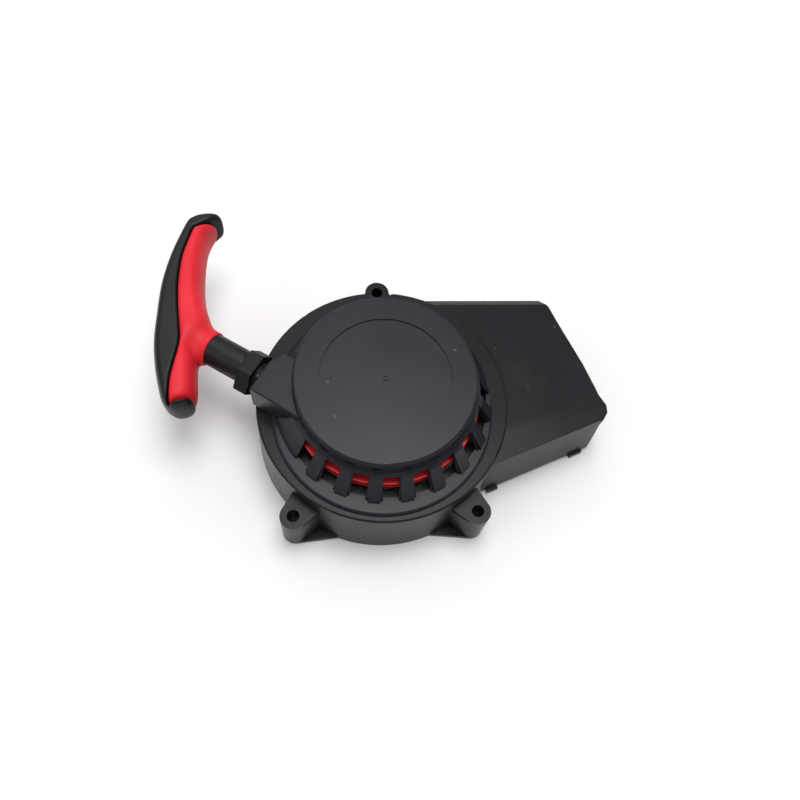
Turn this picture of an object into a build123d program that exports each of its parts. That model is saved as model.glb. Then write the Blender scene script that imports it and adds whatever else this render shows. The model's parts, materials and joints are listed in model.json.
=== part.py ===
from build123d import *
import math
import os

# Recoil starter for a small two-stroke engine, in millimetres.
# Origin: reel axis at the mounting plane. +Z out through the cup, +Y through the top ear.

# fan shroud
rim_r = 56.0
rim_z = 34.0
drum_foot_r = 57.2
shell_t = 2.5
shroud_mouth_r = 42.2
register_r = 54.8
register_h = 4.0
ear_circle_r = 63.5
top_ear_angle = 90.0
low_ear_angles = (-51.25, -128.75)
ear_hole_r = 2.7
ear_r = 5.8
top_ear_z = 22.0
low_ear_z = 25.0
ear_pocket_r = 10.5
ear_plate_t = 3.5
foot_t = 2.5
rib_t = 2.2
rib_web_drop = 7.0
roof_z = 32.5
roof_outline = [(20.0, 53.4), (78.2, 53.4), (81.9, 48.6), (85.5, 39.0), (94.2, 17.5), (98.3, 4.9),
                (100.9, -4.5), (100.9, -8.0), (98.9, -10.5), (48.9, -30.1), (20.0, -38.0)]
duct_floor_z = 2.5
duct_wall = 2.2
duct_draft = 4.5
far_slope_w = 3.4
far_slope_h = 2.5
crease_fall = 5.0

# starter cover
cup_z = 56.6
disc_r = 39.0
cover_t = 2.5
skirt_r = 45.3
nozzle_z = 51.5
nozzle_half_w = 10.8
rib_w = 5.4
slot_w = 4.4
slot_low = 51.2
slot_high = 53.0
dish_r = 28.2
dish_depth = 0.6
flange_z = 36.0
flange_r = 48.6
flange_centre = (-0.5, -4.8)
window_pitch = 17.2
window_count = 9
first_window = -140.0
window_w = 6.8
window_top = 48.3
cover_screw_angles = (-145.0, -90.0, -35.0, 171.0)
cover_screw_r = 48.6
post_r = 5.0
post_z = 27.0
insert_r = 3.6
insert_z = 41.0
centre_shank_r = 2.5
centre_head_z = 20.4
washer_t = 1.4
spring_wall_r = 27.2
spring_wall_t = 1.6
spring_wall_z = 48.2
spring_h = 4.8
spring_t = 0.6
cover_screw_shank_r = 1.3
cover_screw_head_r = 3.1

# rope line: it runs along pull_angle, to one side of the reel axis
pull_angle = 148.0
pull_offset = 21.0
pull_z = 40.5
port_x = 47.2
hex_flats = 18.5
hex_start = 3.6
hex_end = 10.0
neck_r = 4.5
eyelet_r = 3.0
rope_hole_r = 2.3

# reel and rope
rope_d = 3.2
groove_low = 35.0
groove_high = 40.0
reel_core_r = 10.8
reel_low = 27.2
reel_high = 50.0
reel_hub_r = 9.0
top_flange_r = 41.9
low_flange_r = 41.0
flange_t = 1.4
coil_pitch = 3.4
coil_half_turns = 10
coil_first_r = 12.6
coil_z = 38.2
level_run = 31.0
bush_r = 6.6
run_gap = 0.05

# pawls
pawl_pivot_r = 14.0
pawl_low = 27.8
pawl_high = 31.4
pawl_pin_r = 1.5
pawl_pin_low = 25.4
pawl_pin_high = 34.6
clip_low = 25.7
clip_high = 26.3
clip_groove_r = 1.2

# handle, measured from the outer end of the cover along the pull line
stem_r = 7.35
stem_start = 10.4
grip_t = 21.0
grip_edge = 2.5
knot_start = 40.0
neck_x = 27.5
knot_pocket_r = 4.6
web_t = 8.0


def pull_plane(z=0.0, along=0.0, across=0.0):
    """Frame with x along the pull line and z up; across = 0 is the rope's own line."""
    a = math.radians(pull_angle)
    x = along * math.cos(a) - (pull_offset + across) * math.sin(a)
    y = along * math.sin(a) + (pull_offset + across) * math.cos(a)
    return Plane(origin=(x, y, z), x_dir=(math.cos(a), math.sin(a), 0), z_dir=(0, 0, 1))


def axis_plane(along):
    """Plane square to the rope's line, for round pieces on it."""
    base = pull_plane(pull_z, port_x + along)
    return Plane(origin=base.origin, x_dir=base.y_dir, z_dir=base.x_dir)


def rod(r, start, end):
    return extrude(axis_plane(start) * Circle(r), end - start)


def tube(r, z0, z1, hole=0.0, x=0.0, y=0.0):
    body = Pos(x, y, z0) * Cylinder(r, z1 - z0, align=(Align.CENTER, Align.CENTER, Align.MIN))
    if hole:
        body -= Pos(x, y, z0) * Cylinder(hole, z1 - z0, align=(Align.CENTER, Align.CENTER, Align.MIN))
    return body


def turned(points):
    """Solid of revolution from (radius, height) points."""
    return revolve(Plane.XZ * make_face(Polyline(*points, close=True)), Axis.Z)


def polar(r, angle):
    a = math.radians(angle)
    return (r * math.cos(a), r * math.sin(a))


def radial_box(angle, r0, r1, w, z0, z1):
    box = Pos((r0 + r1) / 2, 0, (z0 + z1) / 2) * Box(r1 - r0, w, z1 - z0)
    return Rot(0, 0, angle) * box


def raise_face(face, height):
    return extrude(face, height, dir=(0, 0, 1))


def slab(points, z0, z1):
    return raise_face(Plane.XY.offset(z0) * make_face(Polyline(*points, close=True)), z1 - z0)


def spiral_arcs(first_r, pitch, half_turns):
    """Semicircles of a flat clockwise spiral, from its inner end, as (start, middle, end, centre)."""
    arcs = []
    cx = 0.0
    r = first_r
    sign = 1
    for _ in range(half_turns):
        start = (cx + sign * r, 0.0)
        middle = (cx, -sign * r)
        end = (cx - sign * r, 0.0)
        arcs.append((start, middle, end, (cx, 0.0)))
        r += pitch / 2
        cx = end[0] + sign * r
        sign = -sign
    return arcs


def spiral_path(arcs, angle, z):
    edges = [ThreePointArc(a, m, b) for a, m, b, _ in arcs]
    return Pos(0, 0, z) * Rot(0, 0, angle) * Wire(edges)


# ---------------------------------------------------------------- fan shroud

def upright(a, b):
    """Vertical plane through two plan points: x runs from a to b, and y is up."""
    along = Vector(b[0] - a[0], b[1] - a[1], 0).normalized()
    return Plane(origin=(a[0], a[1], 0), x_dir=along, z_dir=along.cross(Vector(0, 0, 1)))


def rib(a, b, outline):
    """Rib of rib_t between two plan points, from (distance, height) points."""
    return extrude(upright(a, b) * make_face(Polyline(*outline, close=True)), rib_t / 2, both=True)


def top_ear():
    x, y = polar(ear_circle_r, top_ear_angle)
    wing = slab([(-9, 54), (-ear_r, y), (ear_r, y), (9, 54)], 0, top_ear_z)
    return tube(ear_r, 0, top_ear_z, x=x, y=y) + wing


def low_ear(angle):
    """Screw ear: plate on a post, full web on its outer side, gusset and foot on the inner."""
    x, y = polar(ear_circle_r, angle)
    side = math.copysign(1, x)
    plate_z = low_ear_z - ear_plate_t
    outer_root = (side * 40.0, -38.5)
    inner_root = (side * 28.0, -47.6)
    # the points where the plate's straight sides meet the round of the post
    reach = ear_r / ear_circle_r
    outer_edge = (x - side * y * reach, y + side * x * reach)
    inner_edge = (x + side * y * reach, y - side * x * reach)
    body = tube(ear_r, 0, low_ear_z, x=x, y=y)
    body += slab([outer_root, outer_edge, inner_edge, inner_root], plate_z, low_ear_z)
    web_start = (outer_root[0] - side * 0.7, outer_root[1] - 1.0)
    web_end = (outer_edge[0] - side * 0.7, outer_edge[1] - 0.6)
    length = math.dist(web_start, web_end)
    body += rib(web_start, web_end, [(0, 0), (length, 0), (length, plate_z + 1), (0, plate_z + 1)])
    gusset_start = (inner_edge[0], inner_edge[1] + rib_t / 2)
    gusset_end = (inner_root[0] - side * 0.6, inner_root[1] + rib_t / 2)
    length = math.dist(gusset_start, gusset_end)
    body += rib(gusset_start, gusset_end,
                [(-2.0, 0), (1.0, 0), (length, plate_z - rib_web_drop), (length, plate_z + 1),
                 (-2.0, plate_z + 1)])
    return body + slab([(x, y - ear_r), (side * 21.0, -53.4), (side * 18.0, -50.0), (side * 36.0, -44.0)],
                       0, foot_t)


def duct_block(inset, low, top):
    """Block with the roof's outline at the top, widening downwards by the draft."""
    face = make_face(Polyline(*roof_outline, close=True))
    if inset:
        face = offset(face, -inset)
    return extrude(Plane.XY.offset(top) * face, top - low, dir=(0, 0, -1), taper=-duct_draft)


def duct_shell():
    duct = duct_block(0, duct_floor_z, roof_z)
    # slope along the far edge
    slope = Plane.YZ.offset(10) * make_face(Polyline(
        (53.4 - far_slope_w, roof_z), (53.4, roof_z - far_slope_h), (60, roof_z - far_slope_h),
        (60, roof_z + 1), (53.4 - far_slope_w, roof_z + 1), close=True))
    duct -= extrude(slope, 100)
    # a strip along the near side of the roof falls away beyond a crease
    along = Vector(40.4, 14.1, 0).normalized()
    near = Vector(along.Y, -along.X, 0)
    normal = Vector(0, 0, 1) + near * math.tan(math.radians(crease_fall))
    fall = Plane(origin=(56, -14, roof_z), x_dir=along, z_dir=normal.normalized())
    return duct - fall * Box(300, 300, 30, align=(Align.CENTER, Align.CENTER, Align.MIN))


def end_lip():
    """Raised lip round the duct's end wall, widest at the near corner."""
    outline = [(84.5, 41.0), (86.1, 41.3), (94.9, 17.8), (99.2, 4.6), (103.0, -2.4), (102.9, -6.2),
               (100.6, -9.6), (97.0, -7.0), (97.0, 2.0), (93.0, 15.0)]
    return slab(outline, duct_floor_z + 1.5, roof_z - 2.5)


def fan_shroud():
    drum = Cone(drum_foot_r, rim_r, rim_z, align=(Align.CENTER, Align.CENTER, Align.MIN))
    drum = fillet([e for e in drum.edges() if abs(e.center().Z - rim_z) < 0.01], 1.0)
    body = drum + duct_shell() + end_lip() + top_ear()
    for angle in low_ear_angles:
        body += low_ear(angle)
    # locating tabs under the duct's near wall
    body += slab([(49.5, -34.0), (54.5, -32.2), (53.5, -28.5), (48.5, -29.5)], 0, 3)
    body += slab([(91.5, -17.2), (97.5, -14.8), (96.5, -11.0), (90.5, -13.5)], 0, 3)
    # hollow drum, with a cylindrical register at its mouth
    body -= Cone(drum_foot_r - shell_t, rim_r - shell_t, rim_z - shell_t,
                 align=(Align.CENTER, Align.CENTER, Align.MIN))
    body -= tube(register_r, -1, register_h)
    body -= tube(shroud_mouth_r, 20, rim_z + 2)
    # hollow duct, open below and joined to the drum above the register
    room = duct_block(duct_wall, -1, roof_z - duct_wall)
    body -= room - tube(drum_foot_r + 0.2, -2, register_h + 1.5)
    for angle in low_ear_angles:
        x, y = polar(ear_circle_r, angle)
        body -= tube(ear_hole_r, -1, low_ear_z + 1, x=x, y=y)
    # pocket that lets a screw's head down past the rim onto the top ear, walled inside the drum
    x, y = polar(ear_circle_r, top_ear_angle)
    wall = tube(ear_pocket_r + rib_t, top_ear_z - rib_t, rim_z - 1, x=x, y=y)
    body += wall & Cone(drum_foot_r - 1, rim_r - 1, rim_z, align=(Align.CENTER, Align.CENTER, Align.MIN))
    body -= tube(ear_pocket_r, top_ear_z, rim_z + 2, x=x, y=y)
    body -= tube(ear_hole_r, -1, top_ear_z + 1, x=x, y=y)
    # pocket in the rim under the rope guide
    pocket = pull_plane(27.8, 54.0, 1.2) * Box(12, 28, 2.4, align=(Align.CENTER, Align.CENTER, Align.MIN))
    body += pocket & Cone(drum_foot_r - 1, rim_r - 1, rim_z, align=(Align.CENTER, Align.CENTER, Align.MIN))
    body -= pull_plane(30.2, 57.0, 1.2) * Box(14, 25, 10, align=(Align.CENTER, Align.CENTER, Align.MIN))
    for angle in cover_screw_angles:
        x, y = polar(cover_screw_r, angle)
        body -= tube(2.7, rim_z - shell_t - 1, rim_z + 1, x=x, y=y)
    return body


# ------------------------------------------------------------- starter cover

def nozzle_face(inset):
    """Plan of the rope nozzle beside the cup, in the pull line's frame."""
    end = port_x - inset
    half = nozzle_half_w - inset
    points = [(20.0, -half), (43.2, -half), (end, -4.2 - inset / 2), (end, half), (20.0, half + 1.0)]
    return make_face(Polyline(*points, close=True))


def starter_cover():
    outer = turned([(0, 30), (0, cup_z), (disc_r, cup_z), (39.6, 49.2), (41.4, 48.2), (44.0, 42.0),
                    (47.6, flange_z), (48.0, rim_z), (skirt_r, rim_z), (skirt_r, 30)])
    outer = fillet([e for e in outer.edges() if abs(e.center().Z - cup_z) < 0.01], 1.0)
    flange = tube(flange_r, rim_z, flange_z, x=flange_centre[0], y=flange_centre[1])
    flange = fillet([e for e in flange.edges() if abs(e.center().Z - flange_z) < 0.01], 1.2)
    body = outer + flange
    # nozzle block over the rim
    block = pull_plane(rim_z + 1.4) * nozzle_face(0)
    block = raise_face(block, nozzle_z - rim_z - 1.4)
    block = fillet([e for e in block.edges() if abs(e.center().Z - nozzle_z) < 0.01], 0.8)
    pad = raise_face(pull_plane(rim_z) * nozzle_face(0), 2) & tube(51.6, rim_z, rim_z + 2)
    body += block + pad
    for k in range(window_count - 1):
        angle = first_window + window_pitch * (k + 0.5)
        rib = Plane.XZ * make_face(Polyline((39.0, 48.6), (40.6, 49.0), (42.2, 48.2), (45.2, 41.8),
                                            (48.4, 37.0), (48.4, flange_z), (44.0, flange_z), close=True))
        body += Rot(0, 0, angle) * extrude(rib, rib_w / 2, both=True)
    # inside of the cup
    body -= turned([(0, 30), (skirt_r, 30), (skirt_r, rim_z), (45.9, flange_z), (42.5, 41.8), (39.8, 48.0),
                    (37.2, 49.6), (36.6, cup_z - cover_t), (0, cup_z - cover_t)])
    body -= tube(dish_r, cup_z - dish_depth, cup_z + 1)
    body += tube(1.2, cup_z - dish_depth, cup_z - 0.2, 0.7)
    for k in range(window_count):
        angle = first_window + window_pitch * k
        body -= radial_box(angle, 36, 54, window_w, flange_z, window_top)
    for k in range(window_count - 1):
        angle = first_window + window_pitch * (k + 0.5)
        body -= radial_box(angle, 38.6, 42, slot_w, slot_low, slot_high)
    # rope room inside the nozzle, and the bore for the guide's neck
    room = raise_face(pull_plane(37.4) * nozzle_face(2.4), nozzle_z - 2.3 - 37.4)
    room -= tube(36.7, 30, 60)
    body -= room
    body -= rod(neck_r, -4, 2)
    # centre post, spring wall and ribs
    body += tube(post_r, post_z, cup_z - cover_t + 0.1)
    body += tube(spring_wall_r + spring_wall_t, spring_wall_z, cup_z - cover_t + 0.1, spring_wall_r)
    for k in range(6):
        body += radial_box(60 * k + 15, spring_wall_r + 1.4, 36.8, 1.5, 51.0, cup_z - cover_t + 0.1)
    body -= tube(insert_r, post_z - 1, insert_z)
    for angle in cover_screw_angles:
        x, y = polar(cover_screw_r, angle)
        body += tube(2.6, rim_z - 2.3, rim_z + 0.1, x=x, y=y)
        body -= tube(cover_screw_shank_r, rim_z - 3, rim_z + 1.3, x=x, y=y)
    return body


def cover_screws():
    screws = []
    for angle in cover_screw_angles:
        x, y = polar(cover_screw_r, angle)
        head_top = rim_z - shell_t
        screw = tube(cover_screw_head_r, head_top - 1.8, head_top, x=x, y=y)
        screw += tube(cover_screw_shank_r, head_top - 0.1, rim_z + 1.2, x=x, y=y)
        screw -= tube(1.1, head_top - 2, head_top - 1.0, x=x, y=y)
        screws.append(screw)
    return Compound(children=screws)


def rope_guide():
    """Hexagonal bushing screwed into the nozzle."""
    plane = axis_plane(hex_start)
    body = extrude(plane * RegularPolygon(hex_flats / 2, 6, major_radius=False), hex_end - hex_start)
    body &= rod(hex_flats / 2 + 1.3, hex_start, hex_end)
    body += rod(6.4, 0, hex_start + 0.1)
    body += rod(neck_r, -2.4, 0.1)
    body -= rod(eyelet_r, -3, 4)
    body -= rod(rope_hole_r, 3, hex_end + 1)
    return body


def rope_eyelet():
    body = rod(eyelet_r, -2.5, 4) + rod(4.2, -3.2, -2.4)
    body -= rod(2.1, -4, 5)
    return body


# ---------------------------------------------------------------- centre stack

def post_insert():
    return tube(insert_r, post_z, insert_z, centre_shank_r)


def centre_screw():
    body = tube(4.6, 17.0, centre_head_z) + tube(centre_shank_r, centre_head_z - 0.1, 39.0)
    body -= extrude(Plane.XY.offset(16.9) * RegularPolygon(2.0, 6), 2.3)
    return body


def centre_washer():
    return tube(8.2, centre_head_z, centre_head_z + washer_t, centre_shank_r)


def centre_sleeve():
    return tube(4.5, centre_head_z + washer_t, post_z, centre_shank_r)


def friction_spring():
    """Coil spring of flat rings between guide plate and reel hub."""
    coil = None
    for k in range(3):
        ring = Pos(0, 0, 24.4 + 0.9 * k) * Torus(6.3, 0.45)
        coil = ring if coil is None else coil + ring
    return coil


def spring_plate():
    return tube(spring_wall_r + spring_wall_t, spring_wall_z - 0.8, spring_wall_z, 10.0)


def recoil_spring():
    path = spiral_path(spiral_arcs(11.2, 2.0, 15), 20, 51.0)
    edge = path.edges()[0]
    section = Plane(origin=edge @ 0, x_dir=(0, 0, 1), z_dir=edge % 0) * Rectangle(spring_h, spring_t)
    return sweep(section, path)


# ---------------------------------------------------------------------- reel

def reel():
    flange_foot = groove_low - flange_t
    flange_top = groove_high + flange_t
    body = turned([(bush_r, reel_low), (7.8, reel_low), (7.8, 31.6), (20.0, 31.6), (20.0, flange_foot),
                   (low_flange_r, flange_foot), (low_flange_r, groove_low), (reel_core_r, groove_low),
                   (reel_core_r, groove_high), (top_flange_r, groove_high), (top_flange_r, flange_top),
                   (reel_hub_r, flange_top), (reel_hub_r, reel_high), (bush_r, reel_high)])
    rims = [e for e in body.edges() if e.length > 250]
    body = fillet(rims, 0.4)
    for k in range(2):
        x, y = polar(pawl_pivot_r, 180 * k)
        body -= tube(pawl_pin_r, 31, pawl_pin_high, x=x, y=y)
    return body


def reel_bush():
    return tube(bush_r, reel_low, reel_high, post_r + run_gap)


def coil_end(angle):
    """Outer end of the rope coil turned to an angle, and the direction the rope leaves it in."""
    _, _, end, centre = spiral_arcs(coil_first_r, coil_pitch, coil_half_turns)[-1]
    arm = Vector(end[0] - centre[0], end[1] - centre[1], 0)
    heading = Vector(arm.Y, -arm.X, 0).normalized()
    return Vector(end[0], end[1], 0).rotate(Axis.Z, angle), heading.rotate(Axis.Z, angle)


def rope_parts():
    guide = pull_plane(pull_z, port_x - 2.6).origin
    # the coil is turned until the rope leaves it straight at the guide
    best = None
    for step in range(3600):
        angle = step * 0.1
        end, heading = coil_end(angle)
        miss = (Vector(guide.X, guide.Y, 0) - end).get_angle(heading)
        if best is None or miss < best[0]:
            best = (miss, angle, end, heading)
    _, angle, end, heading = best
    path = spiral_path(spiral_arcs(coil_first_r, coil_pitch, coil_half_turns), angle, coil_z)
    edge = path.edges()[0]
    coil = sweep(Plane(origin=edge @ 0, z_dir=edge % 0) * Circle(rope_d / 2), path)
    start = Vector(end.X, end.Y, coil_z)
    tail = pull_plane(pull_z, port_x + knot_start + 1.5).origin
    line = FilletPolyline(start, start + heading * level_run, guide, tail, radius=[20, 20])
    edge = line.edges()[0]
    lead = sweep(Plane(origin=edge @ 0, z_dir=edge % 0) * Circle(rope_d / 2), line)
    return coil, lead


# --------------------------------------------------------------------- pawls

def pawl(k):
    """Pawl lying back against the hub; its tip swings outwards about its pin."""
    lean = math.radians(-100)
    tip = (pawl_pivot_r + 12 * math.cos(lean), 12 * math.sin(lean))
    side = (-math.sin(lean) * 2.2, math.cos(lean) * 2.2)
    arm = slab([(pawl_pivot_r - side[0], -side[1]), (tip[0] - side[0] * 0.6, tip[1] - side[1] * 0.6),
                (tip[0] + side[0] * 0.9, tip[1] + side[1] * 0.9), (pawl_pivot_r + side[0], side[1])],
               pawl_low, pawl_high)
    body = arm + tube(3.2, pawl_low, pawl_high, x=pawl_pivot_r)
    body -= tube(pawl_pin_r + run_gap, pawl_low - 1, pawl_high + 1, x=pawl_pivot_r)
    return Rot(0, 0, 180 * k) * body


def pawl_pins():
    pins = []
    for k in range(2):
        x, y = polar(pawl_pivot_r, 180 * k)
        groove = tube(2, clip_low, clip_high, clip_groove_r, x=x, y=y)
        pins.append(tube(pawl_pin_r, pawl_pin_low, pawl_pin_high, x=x, y=y) - groove)
    return Compound(children=pins)


def pawl_springs():
    """Wire springs round the pins under the pawls, each with one straight leg."""
    springs = []
    for k in range(2):
        ring = Pos(pawl_pivot_r, 0, 27.0) * Torus(2.3, 0.4)
        leg = Pos(pawl_pivot_r - 2.3, -2.5, 27.0) * Rot(90, 0, 0) * Cylinder(0.38, 6.0)
        springs.append(Rot(0, 0, 180 * k) * (ring + leg))
    return Compound(children=springs)


def pawl_clips():
    clips = []
    for k in range(2):
        x, y = polar(pawl_pivot_r, 180 * k)
        clips.append(tube(2.6, clip_low, clip_high, clip_groove_r, x=x, y=y))
    return Compound(children=clips)


def guide_plate():
    """Steel plate that lags behind the reel; its two pegs push the pawls out."""
    body = tube(12.6, 22.4, 23.6, 4.56)
    for k in range(2):
        x, y = polar(11.3, -35 + 180 * k)
        body += tube(1.0, 23.5, 30.6, x=x, y=y)
        sx, sy = polar(9.0, 60 + 180 * k)
        body -= tube(1.6, 22, 24, x=sx, y=sy)
    return body


# -------------------------------------------------------------------- handle

def handle_outline():
    palm = Spline((77.0, -52.0), (71.2, -27.0), (57.5, 1.2), (42.6, 21.2), (30.3, 33.3))
    foot = Spline((30.3, 33.3), (25.0, 34.8), (20.0, 32.0), (20.9, 25.3), tangents=[(-1, 1), (1, -1.6)])
    low = Spline((20.9, 25.3), (25.5, 18.3), (28.7, 10.2), (neck_x, 6.0))
    neck = Line((neck_x, 6.0), (neck_x, -7.4))
    high = Spline((neck_x, -7.4), (34.4, -10.1), (46.1, -20.3), (56.2, -36.4), (63.2, -55.4))
    head = Spline((63.2, -55.4), (64.2, -59.6), (68.6, -61.4), (74.0, -57.4), (77.0, -52.0))
    return make_face(Wire([palm, foot, low, neck, high, head]))


def grip_outline():
    """Part of the outline, on the fingers' side of the seam, that the soft grip fills."""
    seam = Spline((73.1, -50.2), (68.8, -30.7), (59.6, -16.0), (47.2, -1.2), (40.5, 12.3), (34.7, 24.8),
                  (28.4, 31.2))
    points = [(28.4, 31.2), (16.0, 21.5), (16.0, -20.0), (56.0, -60.0), (73.1, -50.2)]
    return make_face(Wire([seam] + [Line(a, b) for a, b in zip(points, points[1:])]))


def web_outline():
    """Flat web of the hard core that the soft grip is moulded round."""
    points = [(71.5, -47.0), (67.0, -48.0), (60.0, -36.0), (50.0, -22.0), (38.0, -11.5), (31.5, -6.0),
              (32.0, 9.0), (29.0, 19.0), (25.0, 26.0), (30.0, 28.0), (36.0, 23.5), (41.8, 11.5),
              (48.5, -1.0), (61.0, -16.0), (69.8, -31.0)]
    return make_face(Polyline(*points, close=True))


def handle_parts():
    base = pull_plane(pull_z - grip_t / 2, port_x)
    full = raise_face(base * handle_outline(), grip_t)
    rims = [e for e in full.edges() if abs(e.center().Z - (pull_z + grip_t / 2)) < 0.01
            or abs(e.center().Z - (pull_z - grip_t / 2)) < 0.01]
    full = chamfer(rims, grip_edge)
    zone = raise_face(pull_plane(pull_z - grip_t / 2 - 1, port_x) * grip_outline(), grip_t + 2)
    web = raise_face(pull_plane(pull_z - web_t / 2, port_x) * web_outline(), web_t)
    stem = rod(stem_r, stem_start, neck_x) + rod(6.0, neck_x - 0.1, 47)
    grip = (full & zone) - web - stem
    core = (full - zone) + web + stem
    core -= rod(rope_hole_r, stem_start - 1, knot_start + 1)
    bore = rod(knot_pocket_r, knot_start, 66)
    core -= bore
    grip -= bore
    return core, grip


def knot_washer():
    return rod(4.5, knot_start, knot_start + 1.2) - rod(1.6, knot_start - 1, knot_start + 2)


def rope_knot():
    centre = axis_plane(knot_start + 4.6).origin
    knot = Pos(centre.X, centre.Y, centre.Z) * Sphere(3.4)
    return knot - rod(6, knot_start - 2, knot_start + 1.5)


rope_coil, rope_lead = rope_parts()
handle_core, handle_grip = handle_parts()

nodes = {
    "fan_shroud": fan_shroud(),
    "starter_cover": starter_cover(),
    "cover_screws": cover_screws(),
    "rope_guide": rope_guide(),
    "rope_eyelet": rope_eyelet(),
    "post_insert": post_insert(),
    "centre_screw": centre_screw(),
    "centre_washer": centre_washer(),
    "centre_sleeve": centre_sleeve(),
    "friction_spring": friction_spring(),
    "spring_plate": spring_plate(),
    "recoil_spring": recoil_spring(),
    "reel": reel(),
    "reel_bush": reel_bush(),
    "rope_coil": rope_coil,
    "pawl_pins": pawl_pins(),
    "pawl_clips": pawl_clips(),
    "pawl_springs": pawl_springs(),
    "pawl_1": pawl(0),
    "pawl_2": pawl(1),
    "guide_plate": guide_plate(),
    "handle_core": handle_core,
    "handle_grip": handle_grip,
    "rope_lead": rope_lead,
    "rope_knot": rope_knot(),
    "knot_washer": knot_washer(),
}

os.makedirs("parts", exist_ok=True)
for name, solid in nodes.items():
    solid.label = name
    export_step(solid, f"parts/{name}.step")
    print(name, round(solid.volume, 1))
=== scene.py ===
import json
import math
import bmesh
import bpy
import numpy as np
from mathutils import Matrix, Vector


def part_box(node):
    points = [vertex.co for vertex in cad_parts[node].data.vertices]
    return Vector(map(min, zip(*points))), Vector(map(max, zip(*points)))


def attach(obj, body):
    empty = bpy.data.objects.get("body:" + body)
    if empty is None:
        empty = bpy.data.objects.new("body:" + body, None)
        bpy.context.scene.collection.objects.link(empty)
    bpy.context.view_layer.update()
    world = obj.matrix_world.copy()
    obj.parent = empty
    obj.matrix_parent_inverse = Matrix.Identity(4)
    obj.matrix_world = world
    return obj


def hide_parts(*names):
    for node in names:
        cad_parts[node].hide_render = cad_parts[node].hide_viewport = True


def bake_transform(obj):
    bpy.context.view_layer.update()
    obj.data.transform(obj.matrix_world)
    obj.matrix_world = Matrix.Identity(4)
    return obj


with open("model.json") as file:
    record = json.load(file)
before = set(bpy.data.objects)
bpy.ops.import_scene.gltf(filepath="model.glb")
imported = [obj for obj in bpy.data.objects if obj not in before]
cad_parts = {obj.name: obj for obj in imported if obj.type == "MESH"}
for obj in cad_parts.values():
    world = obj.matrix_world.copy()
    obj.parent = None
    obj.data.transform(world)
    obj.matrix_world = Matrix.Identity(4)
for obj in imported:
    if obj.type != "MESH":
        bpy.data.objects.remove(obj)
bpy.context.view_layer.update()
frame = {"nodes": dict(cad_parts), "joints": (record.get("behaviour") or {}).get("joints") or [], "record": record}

mm = 0.001
joints = {j["name"]: j for j in frame["joints"]}
pull = Vector(joints["handle_pull"]["axis"]).normalized()
across = Vector((0, 0, 1)).cross(pull)


class Sock:  # one output of a node; sums and products on it add Math nodes
    def __init__(self, paint, out):
        self.paint = paint
        self.out = out

    def calc(self, operation, a, b):
        return self.paint.add("ShaderNodeMath", {"operation": operation}, {0: a, 1: b})

    def __add__(self, other):
        return self.calc("ADD", self, other)

    def __radd__(self, other):
        return self.calc("ADD", other, self)

    def __sub__(self, other):
        return self.calc("SUBTRACT", self, other)

    def __rsub__(self, other):
        return self.calc("SUBTRACT", other, self)

    def __mul__(self, other):
        return self.calc("MULTIPLY", self, other)

    def __rmul__(self, other):
        return self.calc("MULTIPLY", other, self)

    def clamp(self, low=0.0, high=1.0):
        return self.calc("MINIMUM", self.calc("MAXIMUM", self, low), high)


class Paint:  # a material: add() makes any node, settings first, then the values or links of its sockets
    def __init__(self, name):
        self.material = bpy.data.materials.new(name)
        self.material.use_nodes = True
        self.tree = self.material.node_tree
        self.shader = self.tree.nodes["Principled BSDF"]

    def add(self, kind, settings=None, values=None, out=0):
        node = self.tree.nodes.new(kind)
        for key, value in (settings or {}).items():
            if key == "stops":
                for k, (place, colour) in enumerate(value):
                    stop = node.color_ramp.elements[k] if k < 2 else node.color_ramp.elements.new(place)
                    stop.position = place
                    stop.color = colour
            else:
                setattr(node, key, value)
        for key, value in (values or {}).items():
            self.put(node.inputs[key], value)
        return Sock(self, node.outputs[out])

    def put(self, socket, value):
        if isinstance(value, Sock):
            self.tree.links.new(value.out, socket)
        else:
            socket.default_value = value

    def finish(self, **values):
        for key, value in values.items():
            self.put(self.shader.inputs[key.replace("_", " ")], value)
        return self.material

    def place(self):
        return self.add("ShaderNodeTexCoord", out="Object")

    def noise(self, scale, detail=3.0, rough=0.5):
        values = {"Vector": self.place(), "Scale": scale, "Detail": detail, "Roughness": rough}
        return self.add("ShaderNodeTexNoise", {}, values)

    def specks(self, scale, size):  # small round dots, in patches
        values = {"Vector": self.place(), "Scale": scale}
        cells = self.add("ShaderNodeTexVoronoi", {}, values, out="Distance")
        patches = (self.noise(scale * 0.31, 1.0) - 0.62).clamp() * 8.0
        return ((1 - cells * (1.0 / size)).clamp() * patches).clamp()

    def mix(self, factor, a, b):
        node = self.tree.nodes.new("ShaderNodeMix")
        node.data_type = "RGBA"
        self.put(node.inputs[0], factor)
        self.put(node.inputs[6], a)
        self.put(node.inputs[7], b)
        return Sock(self, node.outputs[2])

    def bump(self, height, strength, distance):
        values = {"Height": height, "Strength": strength, "Distance": distance}
        return self.add("ShaderNodeBump", {}, values)


def rgb(r, g, b):
    return (r, g, b, 1.0)


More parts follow.
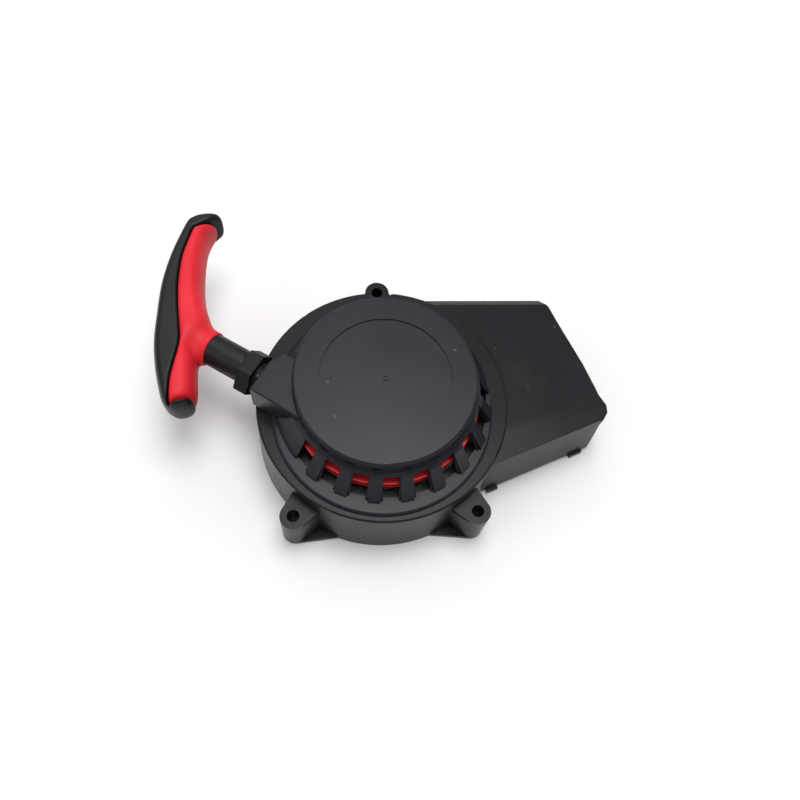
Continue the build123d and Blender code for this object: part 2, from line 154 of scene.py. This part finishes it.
mouldedLook = {
    "shroudPlastic": {"dark": rgb(0.0075, 0.008, 0.0095), "light": rgb(0.013, 0.014, 0.016),
                      "rough": 0.28, "grain": 0.10, "shine": 0.11},
    "coverPlastic": {"dark": rgb(0.009, 0.010, 0.013), "light": rgb(0.016, 0.018, 0.022),
                     "rough": 0.31, "grain": 0.08, "shine": 0.16},
    "guidePlastic": {"dark": rgb(0.005, 0.005, 0.006), "light": rgb(0.010, 0.010, 0.011),
                     "rough": 0.55, "grain": 0.25, "shine": 0.16},
    "handlePlastic": {"dark": rgb(0.007, 0.007, 0.008), "light": rgb(0.014, 0.014, 0.016),
                      "rough": 0.38, "grain": 0.45, "shine": 0.18},
}
dustLook = {"scale": 210.0, "size": 0.16, "colour": rgb(0.34, 0.35, 0.36), "cover": 0.5, "rough": 0.3}


def mouldedPlastic(name, look):  # black injection moulding: cloudy gloss, fine grain, a little dust
    paint = Paint(name)
    cloud = paint.noise(34.0, 4.0, 0.6)
    fine = paint.noise(2600.0, 2.0)
    flow = paint.noise(9.0, 2.0)
    dust = paint.specks(dustLook["scale"], dustLook["size"])
    base = paint.mix((cloud * 1.4 - 0.2).clamp(), look["dark"], look["light"])
    base = paint.mix(dust * dustLook["cover"], base, dustLook["colour"])
    rough = look["rough"] + (cloud - 0.5) * 0.16 + (flow - 0.5) * 0.10 + dust * dustLook["rough"]
    relief = fine * look["grain"] + cloud * 0.25
    return paint.finish(Base_Color=base, Roughness=rough.clamp(0.12, 0.9),
                        Normal=paint.bump(relief, 0.25, 0.0001), Specular_IOR_Level=look["shine"])


gripLook = {
    "deep": rgb(0.52, 0.010, 0.020),
    "bright": rgb(0.68, 0.020, 0.033),
    "rough": 0.50,
    "shine": 0.20,
}


def gripRubber():
    paint = Paint("gripRubber")
    cloud = paint.noise(60.0, 4.0, 0.6)
    fine = paint.noise(3200.0, 2.0)
    base = paint.mix((cloud * 1.3 - 0.15).clamp(), gripLook["deep"], gripLook["bright"])
    rough = gripLook["rough"] + (cloud - 0.5) * 0.2
    return paint.finish(Base_Color=base, Roughness=rough, Specular_IOR_Level=gripLook["shine"],
                        Normal=paint.bump(fine * 0.5 + cloud * 0.3, 0.25, 0.0001))


reelLook = {"deep": rgb(0.52, 0.010, 0.014), "bright": rgb(0.80, 0.022, 0.028), "rough": 0.25}


def reelPlastic():
    paint = Paint("reelPlastic")
    cloud = paint.noise(40.0, 3.0)
    base = paint.mix((cloud * 1.2 - 0.1).clamp(), reelLook["deep"], reelLook["bright"])
    return paint.finish(Base_Color=base, Roughness=reelLook["rough"] + cloud * 0.16,
                        Normal=paint.bump(paint.noise(900.0), 0.1, 0.0001))


metalLook = {
    "zincSteel": {"a": rgb(0.52, 0.54, 0.56), "b": rgb(0.68, 0.69, 0.70), "rough": 0.28},
    "polishedSteel": {"a": rgb(0.60, 0.60, 0.60), "b": rgb(0.74, 0.73, 0.72), "rough": 0.16},
    "springSteel": {"a": rgb(0.16, 0.18, 0.24), "b": rgb(0.34, 0.34, 0.36), "rough": 0.30},
    "pawlMetal": {"a": rgb(0.30, 0.30, 0.31), "b": rgb(0.46, 0.45, 0.44), "rough": 0.42},
    "brassMetal": {"a": rgb(0.66, 0.44, 0.17), "b": rgb(0.82, 0.60, 0.28), "rough": 0.24},
}


def plainMetal(name, look):
    paint = Paint(name)
    cloud = paint.noise(120.0, 4.0, 0.6)
    lines = paint.add("ShaderNodeTexWave", {"wave_type": "RINGS", "rings_direction": "Z"},
                      {"Vector": paint.place(), "Scale": 700.0, "Distortion": 2.0, "Detail": 2.0}, out=1)
    base = paint.mix((cloud * 1.4 - 0.2).clamp(), look["a"], look["b"])
    return paint.finish(Base_Color=base, Metallic=1.0, Roughness=look["rough"] + (cloud - 0.5) * 0.2,
                        Normal=paint.bump(lines * 0.4 + cloud, 0.15, 0.00006))


ropeLook = {
    "shade": rgb(0.50, 0.48, 0.42),
    "fibre": rgb(0.82, 0.80, 0.74),
    "soiled": rgb(0.30, 0.27, 0.22),
    "rough": 0.8,
    "sheen": 0.3,
}


def ropeBraid():
    paint = Paint("ropeBraid")
    fibre = paint.noise(1800.0, 3.0)
    cloud = paint.noise(160.0, 2.0)
    base = paint.mix((fibre * 1.6 - 0.3).clamp(), ropeLook["shade"], ropeLook["fibre"])
    base = paint.mix((cloud - 0.55).clamp() * 2.0, base, ropeLook["soiled"])
    return paint.finish(Base_Color=base, Roughness=ropeLook["rough"], Sheen_Weight=ropeLook["sheen"],
                        Normal=paint.bump(fibre, 0.5, 0.0002))


def floorPaint():
    paint = Paint("studioFloor")
    base = paint.mix(paint.noise(3.0, 2.0), rgb(0.74, 0.74, 0.74), rgb(0.78, 0.78, 0.78))
    return paint.finish(Base_Color=base, Roughness=0.75)


print("materials")
finishes = {name: mouldedPlastic(name, look) for name, look in mouldedLook.items()}
finishes.update({name: plainMetal(name, look) for name, look in metalLook.items()})
finishes["gripRubber"] = gripRubber()
finishes["reelPlastic"] = reelPlastic()
finishes["ropeBraid"] = ropeBraid()
finishes["studioFloor"] = floorPaint()

finishOfSlot = {
    "shroud_plastic": "shroudPlastic", "cover_plastic": "coverPlastic", "guide_plastic": "guidePlastic",
    "handle_plastic": "handlePlastic", "grip_rubber": "gripRubber", "reel_plastic": "reelPlastic",
    "zinc_steel": "zincSteel", "polished_steel": "polishedSteel", "spring_steel": "springSteel",
    "pawl_metal": "pawlMetal", "brass": "brassMetal", "rope_braid": "ropeBraid",
}
slotOf = {s["node"]: s["material_slot"] for s in frame["record"]["subparts"]}
for nodeName, node in frame["nodes"].items():
    node.data.materials.clear()
    node.data.materials.append(finishes[finishOfSlot[slotOf[nodeName]]])


def addMesh(name, points, faces, finish, smooth=True):
    mesh = bpy.data.meshes.new(name)
    mesh.from_pydata([tuple(p) for p in points], [], [tuple(int(i) for i in f) for f in faces])
    mesh.validate()
    mesh.materials.append(finishes[finish])
    for face in mesh.polygons:
        face.use_smooth = smooth
    piece = bpy.data.objects.new(name, mesh)
    bpy.context.scene.collection.objects.link(piece)
    return piece


def standFor(piece, nodeName):  # the piece takes over the look of the plain one
    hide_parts(nodeName)
    return piece


edgeWidth = {"starter_cover": 0.42, "fan_shroud": 0.45, "rope_guide": 0.40}  # rounding, in mm
edgeLook = {"weld": 0.002, "flat": 0.6, "sharp": 28, "rings": 2}  # mm, degrees, degrees, count


def softEdges(nodeName, width):  # the same shape with its sharp edges rounded over
    mesh = frame["nodes"][nodeName].data.copy()
    piece = bpy.data.objects.new(nodeName.replace("_", ".") + ".soft", mesh)
    bpy.context.scene.collection.objects.link(piece)
    shape = bmesh.new()
    shape.from_mesh(mesh)
    bmesh.ops.remove_doubles(shape, verts=shape.verts, dist=edgeLook["weld"] * mm)
    flat = math.radians(edgeLook["flat"])
    bmesh.ops.dissolve_limit(shape, angle_limit=flat, verts=shape.verts, edges=shape.edges)
    shape.to_mesh(mesh)
    shape.free()
    for face in mesh.polygons:
        face.use_smooth = True
    bevel = piece.modifiers.new("edges", "BEVEL")
    bevel.width = width * mm
    bevel.segments = edgeLook["rings"]
    bevel.limit_method = "ANGLE"
    bevel.angle_limit = math.radians(edgeLook["sharp"])
    bevel.use_clamp_overlap = True
    level = piece.modifiers.new("normals", "WEIGHTED_NORMAL")
    level.weight = 60
    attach(piece, "housing")
    standFor(piece, nodeName)


print("moulded shells")
for nodeName, width in edgeWidth.items():
    softEdges(nodeName, width)


# the handle is shaped as a field of distances, then skinned

def smoothCurve(points, steps):  # Catmull-Rom curve through the points
    p = np.array(points, float)
    p = np.vstack([2 * p[0] - p[1], p, 2 * p[-1] - p[-2]])
    out = []
    for k in range(1, len(p) - 2):
        for s in range(steps):
            t = s / steps
            a, b, c, d = p[k - 1], p[k], p[k + 1], p[k + 2]
            out.append(0.5 * ((2 * b) + (c - a) * t + (2 * a - 5 * b + 4 * c - d) * t * t
                              + (3 * b - a - 3 * c + d) * t ** 3))
    return out


def polygonDistance(x, y, outline):  # signed distance to a closed outline, negative inside
    a = np.array(outline)
    b = np.roll(a, -1, axis=0)
    best = np.full(x.shape, 1e9)
    inside = np.zeros(x.shape, bool)
    for (ax, ay), (bx, by) in zip(a, b):
        ex, ey = bx - ax, by - ay
        px, py = x - ax, y - ay
        t = np.clip((px * ex + py * ey) / (ex * ex + ey * ey + 1e-12), 0, 1)
        best = np.minimum(best, (px - ex * t) ** 2 + (py - ey * t) ** 2)
        crosses = ((ay > y) != (by > y)) & (x < ex * (y - ay) / (by - ay + 1e-12) + ax)
        inside ^= crosses
    return np.where(inside, -1, 1) * np.sqrt(best)


def roundMax(a, b, k):
    h = np.clip(0.5 - 0.5 * (b - a) / k, 0, 1)
    return b * (1 - h) + a * h + k * h * (1 - h)


def roundMin(a, b, k):
    return -roundMax(-a, -b, k)


def skin(field, low, step):  # surface nets: one vertex in each cell that the surface crosses
    corner = [(i, j, k) for i in (0, 1) for j in (0, 1) for k in (0, 1)]
    shape = tuple(n - 1 for n in field.shape)

    def at(c):
        return field[c[0]:c[0] + shape[0], c[1]:c[1] + shape[1], c[2]:c[2] + shape[2]]

    total = np.zeros(shape + (3,))
    count = np.zeros(shape)
    for a in corner:
        for b in corner:
            if sum(abs(p - q) for p, q in zip(a, b)) != 1 or a > b:
                continue
            fa, fb = at(a), at(b)
            cut = (fa < 0) != (fb < 0)
            t = np.where(cut, fa / np.where(cut, fa - fb, 1.0), 0.0)
            for n in range(3):
                total[..., n] += np.where(cut, a[n] + t * (b[n] - a[n]), 0)
            count += cut
    active = count > 0
    index = np.full(shape, -1)
    index[active] = np.arange(active.sum())
    cells = np.argwhere(active)
    points = (cells + total[active] / count[active][:, None]) * step + np.array(low)
    quads = []
    for axis in range(3):
        other = [n for n in range(3) if n != axis]
        lower = [slice(None)] * 3
        upper = [slice(None)] * 3
        lower[axis] = slice(0, -1)
        upper[axis] = slice(1, None)
        f0 = field[tuple(lower)] < 0
        f1 = field[tuple(upper)] < 0
        for spot in np.argwhere(f0 != f1):
            if min(spot[other[0]], spot[other[1]]) < 1:
                continue
            ring = []
            for da, db in ((-1, -1), (0, -1), (0, 0), (-1, 0)):
                c = list(spot)
                c[other[0]] += da
                c[other[1]] += db
                if c[other[0]] >= shape[other[0]] or c[other[1]] >= shape[other[1]]:
                    ring = []
                    break
                ring.append(index[tuple(c)])
            if len(ring) == 4 and min(ring) >= 0:
                flip = f0[tuple(spot)] != (axis == 1)
                quads.append(ring if flip else ring[::-1])
    return points, quads


handleShape = {
    "low": (8.0, -63.5, -12.0),  # the space it is shaped in
    "high": (80.0, 37.5, 12.0),
    "step": 0.42,
    "guideMiddle": 6.2,  # how far the rope guide's middle lies beyond the cover's mouth
    "outline": [  # along the pull line, across it, in mm from the cover's mouth
        ((75.0, -48.0), (73.4, -40.0), (69.9, -27.0), (64.4, -13.0), (56.5, 1.2), (49.8, 12.2), (42.6, 21.2),
         (36.4, 27.6), (31.0, 32.6)),
        ((31.0, 32.6), (27.8, 33.9), (24.2, 33.8), (20.9, 31.6), (19.0, 28.2), (19.6, 24.2)),
        ((19.6, 24.2), (21.8, 20.4), (24.8, 16.4), (27.6, 12.4), (29.8, 9.2), (32.0, 6.8), (34.4, 4.5)),
        ((34.4, 4.5), (34.4, -7.0)),
        ((34.4, -7.0), (36.8, -10.7), (41.0, -14.1), (46.5, -19.9), (52.2, -27.8), (57.4, -36.2),
         (61.3, -44.5), (62.9, -53.6)),
        ((62.9, -53.6), (62.0, -56.0), (62.5, -57.9), (64.3, -58.4), (66.6, -57.4), (69.2, -55.7),
         (72.6, -52.4), (75.0, -48.0)),
    ],
    "seam": [(68.9, -44.6), (66.9, -37.6), (64.2, -29.6), (59.9, -21.1), (55.0, -13.3), (49.6, -6.1),
             (43.9, 0.7), (40.1, 5.7), (37.4, 11.2), (35.2, 16.8), (32.4, 23.2), (29.4, 28.4), (27.4, 32.0),
             (26.0, 33.6)],
    "gripSide": [(8.0, 12.0), (8.0, -20.0), (58.5, -63.3)],
    "gripHalf": 10.4,
    "gripRim": 6.0,
    "gripPower": 2.2,
    "coreHalf": 9.8,
    "coreRim": 4.2,
    "corePower": 2.6,
    "neckR": 7.9,
    "neckStart": 27.8,
    "neckBulge": 0.7,
    "neckBlend": 4.5,
    "neckEnd": 46.0,
    "seamGap": 0.12,
    "gripRoll": 2.2,
    "coreRoll": 0.5,
    "stemR": 7.35,
    "stemStart": 10.4,
    "stemEnd": 47.0,
    "ropeHoleR": 2.3,
    "ropeHoleEnd": 45.0,
    "knotStart": 40.0,
    "pocketR": 4.6,
    "soften": 12,
    "ridge": 50,
}


def pullFrame():  # matrix from millimetres along the pull line, across it and up, to the row frame
    low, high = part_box("handle_core")
    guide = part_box("rope_guide")
    centre = (guide[0] + guide[1]) / 2
    stem = Vector((centre.x, centre.y, (low.z + high.z) / 2))
    origin = stem - pull * handleShape["guideMiddle"] * mm
    turn = Matrix((pull, across, Vector((0, 0, 1)))).transposed().to_4x4()
    return Matrix.Translation(origin) @ turn @ Matrix.Scale(mm, 4)


def soften(field, times):  # blurs a flat field, which rounds off its creases
    for _ in range(times):
        for axis in (0, 1):
            field = (np.roll(field, 1, axis) + 2 * field + np.roll(field, -1, axis)) / 4
    return field


def crowned(plan, up, half, rim, power):  # a slab whose rim rounds over in a superellipse
    q = np.clip(1 + plan / rim, 0, None)
    return ((q ** power + (np.abs(up) / half) ** power) ** (1 / power) - 1) * min(half, rim)


def handleFields():
    s = handleShape
    axes = [np.arange(s["low"][n], s["high"][n] + s["step"], s["step"]) for n in range(3)]
    flatX, flatY = np.meshgrid(axes[0], axes[1], indexing="ij")
    outline = []
    for run in s["outline"]:
        outline += smoothCurve(run, 8) if len(run) > 2 else [np.array(run[0])]
    plan = soften(polygonDistance(flatX, flatY, outline), s["soften"])[:, :, None]
    gripPlan = smoothCurve(s["seam"], 6) + [np.array(p) for p in s["gripSide"]]
    zone = polygonDistance(flatX, flatY, gripPlan)[:, :, None]
    along, side, up = np.meshgrid(axes[0], axes[1], axes[2], indexing="ij")
    offAxis = np.hypot(side, up)
    # soft grip: full and round, running down over the neck
    plump = np.maximum(plan, soften(plan, s["ridge"]))
    body = crowned(plump, up, s["gripHalf"], s["gripRim"], s["gripPower"])
    neckEdge = s["neckStart"] + s["neckBulge"] * (1 - np.clip(side / s["neckR"], -1, 1) ** 2)
    neck = np.maximum(np.maximum(offAxis - s["neckR"], along - s["neckEnd"]), neckEdge - along)
    grip = roundMax(roundMin(body, neck, s["neckBlend"]), zone + s["seamGap"], s["gripRoll"])
    # hard core: flatter, with crisp rims, and the stem
    shell = crowned(plan, up, s["coreHalf"], s["coreRim"], s["corePower"])
    core = roundMax(shell, s["seamGap"] - zone, s["coreRoll"])
    stem = np.maximum(np.maximum(offAxis - s["stemR"], s["stemStart"] - along), along - s["stemEnd"])
    stem = roundMax(stem, s["stemStart"] + 0.2 - along, 0.8)
    # the rope's hole, and the pocket for its knot
    hole = np.maximum(offAxis - s["ropeHoleR"], along - s["ropeHoleEnd"])
    pocket = np.maximum(offAxis - s["pocketR"], s["knotStart"] - along)
    core = np.maximum(np.maximum(np.minimum(core, stem), -hole), -pocket)
    return np.maximum(grip, -pocket), core


def makeHandle():
    place = pullFrame()
    pieces = (("softGrip", "gripRubber", "handle_grip"), ("hardCore", "handlePlastic", "handle_core"))
    for (name, finish, nodeName), field in zip(pieces, handleFields()):
        points, quads = skin(field, handleShape["low"], handleShape["step"])
        piece = addMesh(name, [place @ Vector(p) for p in points], quads, finish)
        ease = piece.modifiers.new("ease", "SMOOTH")
        ease.factor = 0.5
        ease.iterations = 4
        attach(piece, "handle")
        standFor(piece, nodeName)


print("handle")
makeHandle()

ropeShape = {  # in mm, along the pull line from the cover's mouth
    "r": 1.58,
    "braid": 0.10,  # depth of the braid, as a share of the radius
    "strands": 6,
    "lay": 10.0,
    "around": 24,
    "ring": 0.45,
    "coilFirst": 12.6,
    "coilPitch": 3.4,
    "coilHalfTurns": 10,
    "coilZ": 38.2,
    "level": 31.0,
    "guideIn": -2.6,
    "tail": 41.5,
    "cornerRings": 12,
    "cornerEase": 60,
    "knotAt": 44.6,
    "knotSize": 0.64,
    "knotR": 1.35,
    "knotRings": 90,
}


def spiralPoints():  # half circles of growing radius about the reel's axis, from the inner end
    s = ropeShape
    points, cx, r, sign = [], 0.0, s["coilFirst"], 1
    for _ in range(s["coilHalfTurns"]):
        steps = int(math.pi * r / 0.4)
        start = 0.0 if sign > 0 else math.pi
        for k in range(steps):
            a = start - math.pi * k / steps
            points.append((cx + r * math.cos(a), r * math.sin(a)))
        end = cx - sign * r
        r += s["coilPitch"] / 2
        cx = end + sign * r
        sign = -sign
    points.append((end, 0.0))
    return np.array(points)


def turnedBy(points, angle):
    c, s = math.cos(angle), math.sin(angle)
    return points @ np.array(((c, s), (-s, c)))


def spaced(path, gap):  # the path again, in even steps
    step = np.linalg.norm(np.diff(path, axis=0), axis=1)
    run = np.concatenate(([0], np.cumsum(step)))
    at = np.linspace(0, run[-1], max(2, int(run[-1] / gap)))
    return np.stack([np.interp(at, run, path[:, n]) for n in range(path.shape[1])], axis=1)


def eased(path, reach):  # rounds the corners of an even path, its ends kept
    out = path.copy()
    for _ in range(reach):
        out[1:-1] = (out[:-2] + 2 * out[1:-1] + out[2:]) / 4
    return out


def braidTube(name, path, phase, radius, closed=False):  # a tube, raised where strands cross
    s = ropeShape
    tangent = np.gradient(path, axis=0)
    tangent /= np.linalg.norm(tangent, axis=1)[:, None]
    side = np.cross((0.0, 0.0, 1.0), tangent[0])
    turn = np.linspace(0, 2 * math.pi, s["around"], endpoint=False)
    rings = []
    for k, centre in enumerate(path):
        side = side - tangent[k] * side.dot(tangent[k])
        side = side / np.linalg.norm(side)
        up = np.cross(tangent[k], side)
        lay = 2 * math.pi * s["strands"] * phase[k] / s["lay"]
        wave = np.maximum(np.cos(s["strands"] * turn + lay), np.cos(s["strands"] * turn - lay))
        r = radius * (1 - s["braid"] * (1 - wave) / 2)
        rings.append(centre + np.outer(r * np.cos(turn), side) + np.outer(r * np.sin(turn), up))
    count, n = len(rings), s["around"]
    points = np.concatenate(rings) * mm
    faces = []
    for k in range(count if closed else count - 1):
        a, b = k * n, (k + 1) % count * n
        faces += [(a + i, a + (i + 1) % n, b + (i + 1) % n, b + i) for i in range(n)]
    if not closed:
        faces += [tuple(range(n))[::-1], tuple(range((count - 1) * n, count * n))]
    return addMesh(name, points, faces, "ropeBraid")


def coilTurn(spiral, guide):  # the coil's angle at which the rope leaves it straight at the guide
    best = None
    for step in range(3600):
        angle = math.radians(step * 0.1)
        ends = turnedBy(spiral[-3:], angle)
        heading = ends[2] - ends[1]
        heading = heading / np.linalg.norm(heading)
        aim = guide[:2] - ends[2]
        miss = -heading.dot(aim / np.linalg.norm(aim))
        if best is None or miss < best[0]:
            best = (miss, angle, heading)
    return best[1:]


def makeRope():
    s = ropeShape
    place = pullFrame()

    def onLine(along):
        return np.array(place @ Vector((along, 0, 0))) / mm

    guide = onLine(s["guideIn"])
    spiral = spiralPoints()
    angle, heading = coilTurn(spiral, guide)
    flat = turnedBy(spiral, angle)
    coil = spaced(np.column_stack((flat, np.full(len(flat), s["coilZ"]))), s["ring"])
    piece = braidTube("woundRope", coil, np.arange(len(coil)) * s["ring"], s["r"])
    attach(piece, "reel")
    standFor(piece, "rope_coil")
    # the lead: level off the coil, up to the guide, and on to the knot
    corner = coil[-1] + np.append(heading, 0) * s["level"]
    before = spaced(np.array((coil[-1], corner, guide)), s["ring"])
    tail = onLine(s["tail"])
    # beyond the guide the rings are even when the handle is out, and close together at rest
    travel = joints["handle_pull"]["range_m"][1] / mm
    rest = np.linspace(0, 1, 4000)
    pulled = rest * (s["tail"] - s["guideIn"]) + travel * rest * rest * (3 - 2 * rest)
    along = np.arange(s["ring"], pulled[-1], s["ring"])
    after = guide + np.outer(np.interp(along, pulled, rest), tail - guide)
    near = len(before)
    path = np.concatenate((before, after))
    bend = near + s["cornerRings"]
    path[:bend] = eased(path[:bend], s["cornerEase"])
    phase = np.concatenate((np.arange(near) * s["ring"], near * s["ring"] + along))
    piece = braidTube("leadRope", path, phase, s["r"])
    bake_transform(piece)
    standFor(piece, "rope_lead")
    # the knot in its pocket
    t = np.linspace(0, 2 * math.pi, s["knotRings"], endpoint=False)
    trefoil = (np.sin(3 * t) * 0.8, np.sin(t) + 2 * np.sin(2 * t), np.cos(t) - 2 * np.cos(2 * t))
    turnLoop = np.array(place.to_3x3()) / mm
    loop = (np.column_stack(trefoil) * s["knotSize"]) @ turnLoop.T + onLine(s["knotAt"])
    piece = braidTube("ropeKnot", loop, np.linspace(0, 2 * s["lay"], s["knotRings"]), s["knotR"], True)
    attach(piece, "handle")
    standFor(piece, "rope_knot")


print("rope")
makeRope()

cameraView = {
    "azimuth": -11.8,
    "elevation": 65.16,
    "roll": 9.97,
    "lens": 34.1,
    "place": (-0.0215, -0.1391, 0.3404),
}


def makeCamera():
    a, e, r = (math.radians(cameraView[k]) for k in ("azimuth", "elevation", "roll"))
    back = Vector((math.sin(a) * math.cos(e), -math.cos(a) * math.cos(e), math.sin(e)))
    level = Vector((math.cos(a), math.sin(a), 0))
    upward = back.cross(level)
    right = level * math.cos(r) + upward * math.sin(r)
    upward = upward * math.cos(r) - level * math.sin(r)
    lens = bpy.data.cameras.new("camera")
    lens.lens = cameraView["lens"]
    lens.clip_start = 0.01
    camera = bpy.data.objects.new("camera", lens)
    bpy.context.scene.collection.objects.link(camera)
    turn = Matrix((right, upward, back)).transposed().to_4x4()
    camera.matrix_world = Matrix.Translation(cameraView["place"]) @ turn
    bpy.context.scene.camera = camera


studioLook = {
    "floor": 6.0,
    "horizon": 0.10,
    "zenith": 0.78,
    "lamps": {
        "topSoft": {"at": (0.08, 0.14, 1.25), "size": 0.62, "power": 11.0},
        "farSoft": {"at": (-0.30, 1.00, 1.05), "size": 1.1, "power": 4.0},
        "leftSoft": {"at": (-1.0, -0.2, 0.75), "size": 0.7, "power": 2.0},
        "rightSoft": {"at": (1.05, 0.35, 0.45), "size": 0.5, "power": 1.0},
    },
}


def makeStudio():
    far = studioLook["floor"]
    points = [(-far, -far, 0), (far, -far, 0), (far, far, 0), (-far, far, 0)]
    floor = addMesh("studioFloor", points, [(0, 1, 2, 3)], "studioFloor", False)
    for name, lamp in studioLook["lamps"].items():
        light = bpy.data.lights.new(name, "AREA")
        light.size = lamp["size"]
        light.energy = lamp["power"]
        holder = bpy.data.objects.new(name, light)
        bpy.context.scene.collection.objects.link(holder)
        holder.location = lamp["at"]
        holder.rotation_euler = (-Vector(lamp["at"])).to_track_quat("-Z", "Y").to_euler()
    world = bpy.data.worlds.new("studio")
    bpy.context.scene.world = world
    world.use_nodes = True
    tree = world.node_tree
    sky = tree.nodes["Background"]
    place = tree.nodes.new("ShaderNodeTexCoord")
    parts = tree.nodes.new("ShaderNodeSeparateXYZ")
    height = tree.nodes.new("ShaderNodeMapRange")  # dimmer towards the horizon
    height.inputs["To Min"].default_value = studioLook["horizon"]
    height.inputs["To Max"].default_value = studioLook["zenith"]
    tree.links.new(place.outputs["Generated"], parts.inputs[0])
    tree.links.new(parts.outputs["Z"], height.inputs["Value"])
    tree.links.new(height.outputs[0], sky.inputs["Strength"])
    sky.inputs["Color"].default_value = (1, 1, 1, 1)
    bpy.context.scene.view_settings.view_transform = "Standard"


print("studio")
makeStudio()
makeCamera()

bpy.context.view_layer.update()
